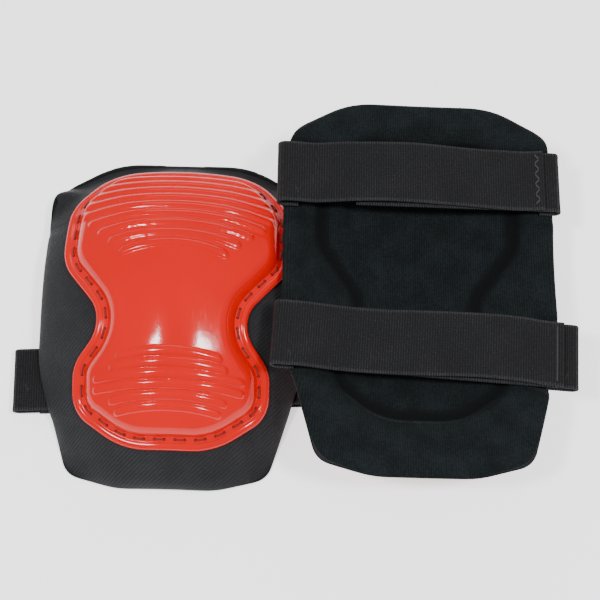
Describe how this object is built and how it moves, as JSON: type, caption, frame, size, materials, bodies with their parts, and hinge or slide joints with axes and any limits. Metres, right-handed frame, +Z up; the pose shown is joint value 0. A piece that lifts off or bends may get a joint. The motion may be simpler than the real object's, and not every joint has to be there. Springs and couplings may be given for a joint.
{
  "type": "knee pads",
  "caption": "Pair of padded knee pads with moulded ribbed caps over curved fabric shells and hook-and-loop elastic straps; one lies cap up, one cap down.",
  "frame": {"origin": "on the surface the pads lie on, under the middle of their common box", "axes": "+Z up from the surface, +X from the cap-up pad towards the cap-down pad, +Y towards the thigh end of both pads"},
  "size_m": [0.3317, 0.2273, 0.0618],
  "materials": {
    "cap_plastic": "glossy moulded, softly ribbed",
    "cap_thread": "twisted sewing thread",
    "cover_fabric": "coated twill weave",
    "foam": "closed-cell foam",
    "lining_knit": "brushed knit",
    "strap_elastic": "woven elastic webbing",
    "hook_tape": "moulded hooks",
    "strap_thread": "sewing thread"
  },
  "bodies": {
    "left_pad": {"left_cap": "cap_plastic", "left_cap_cushion": "foam", "left_cap_stitching": "cap_thread", "left_cover": "cover_fabric", "left_foam_core": "foam", "left_lining": "lining_knit", "left_upper_long_strap_root": "strap_elastic", "left_upper_short_strap_root": "strap_elastic", "left_lower_long_strap_root": "strap_elastic", "left_lower_short_strap_root": "strap_elastic"},
    "right_pad": {"right_cap": "cap_plastic", "right_cap_cushion": "foam", "right_cap_stitching": "cap_thread", "right_cover": "cover_fabric", "right_foam_core": "foam", "right_lining": "lining_knit", "right_upper_long_strap_root": "strap_elastic", "right_upper_short_strap_root": "strap_elastic", "right_lower_long_strap_root": "strap_elastic", "right_lower_short_strap_root": "strap_elastic"},
    "left_upper_long": {"left_upper_long_strap": "strap_elastic", "left_upper_hook_patch": "hook_tape", "left_upper_end_stitching": "strap_thread"},
    "left_upper_short": {"left_upper_short_strap": "strap_elastic"},
    "left_lower_long": {"left_lower_long_strap": "strap_elastic", "left_lower_hook_patch": "hook_tape", "left_lower_end_stitching": "strap_thread"},
    "left_lower_short": {"left_lower_short_strap": "strap_elastic"},
    "right_upper_long": {"right_upper_long_strap": "strap_elastic", "right_upper_hook_patch": "hook_tape", "right_upper_end_stitching": "strap_thread"},
    "right_upper_short": {"right_upper_short_strap": "strap_elastic"},
    "right_lower_long": {"right_lower_long_strap": "strap_elastic", "right_lower_hook_patch": "hook_tape", "right_lower_end_stitching": "strap_thread"},
    "right_lower_short": {"right_lower_short_strap": "strap_elastic"}
  },
  "joints": [
    {"name": "left_upper_long_fold", "type": "hinge", "parent": "left_pad", "child": "left_upper_long", "pos_m": [0.01268, 0.05085, 0.0052], "axis": [-0.0262, -0.9997, 0], "range_deg": [0, 150]},
    {"name": "left_upper_short_fold", "type": "hinge", "parent": "left_pad", "child": "left_upper_short", "pos_m": [-0.15027, 0.05512, 0.0074], "axis": [0.0262, 0.9997, 0], "range_deg": [0, 45]},
    {"name": "left_lower_long_fold", "type": "hinge", "parent": "left_pad", "child": "left_lower_long", "pos_m": [0.01666, -0.04068, 0.0052], "axis": [0.0262, -0.9997, 0], "range_deg": [0, 150]},
    {"name": "left_lower_short_fold", "type": "hinge", "parent": "left_pad", "child": "left_lower_short", "pos_m": [-0.16528, -0.04544, 0.0074], "axis": [-0.0262, 0.9997, 0], "range_deg": [0, 45]},
    {"name": "right_upper_long_fold", "type": "hinge", "parent": "right_pad", "child": "right_upper_long", "pos_m": [-0.00763, 0.06879, 0.05559], "axis": [-0.0175, -0.9998, 0], "range_deg": [0, 150]},
    {"name": "right_upper_short_fold", "type": "hinge", "parent": "right_pad", "child": "right_upper_short", "pos_m": [0.1606, 0.06586, 0.04457], "axis": [0.0175, 0.9998, 0], "range_deg": [0, 45]},
    {"name": "right_lower_long_fold", "type": "hinge", "parent": "right_pad", "child": "right_lower_long", "pos_m": [-0.01023, -0.02941, 0.05564], "axis": [-0.0697, -0.9976, 0.0027], "range_deg": [0, 150]},
    {"name": "right_lower_short_fold", "type": "hinge", "parent": "right_pad", "child": "right_lower_short", "pos_m": [0.16459, -0.04165, 0.04426], "axis": [0.0697, 0.9976, -0.0027], "range_deg": [0, 45]},
    {"name": "right_pad_lift", "type": "slide", "parent": "left_pad", "child": "right_pad", "axis": [0, 0, 1], "range_m": [0, 0.12]}
  ],
  "couplings": [
    {"joint": "left_upper_short_fold", "follows": "left_upper_long_fold", "ratio": 0.3},
    {"joint": "left_lower_short_fold", "follows": "left_lower_long_fold", "ratio": 0.3},
    {"joint": "right_upper_short_fold", "follows": "right_upper_long_fold", "ratio": 0.3},
    {"joint": "right_lower_short_fold", "follows": "right_lower_long_fold", "ratio": 0.3}
  ]
}
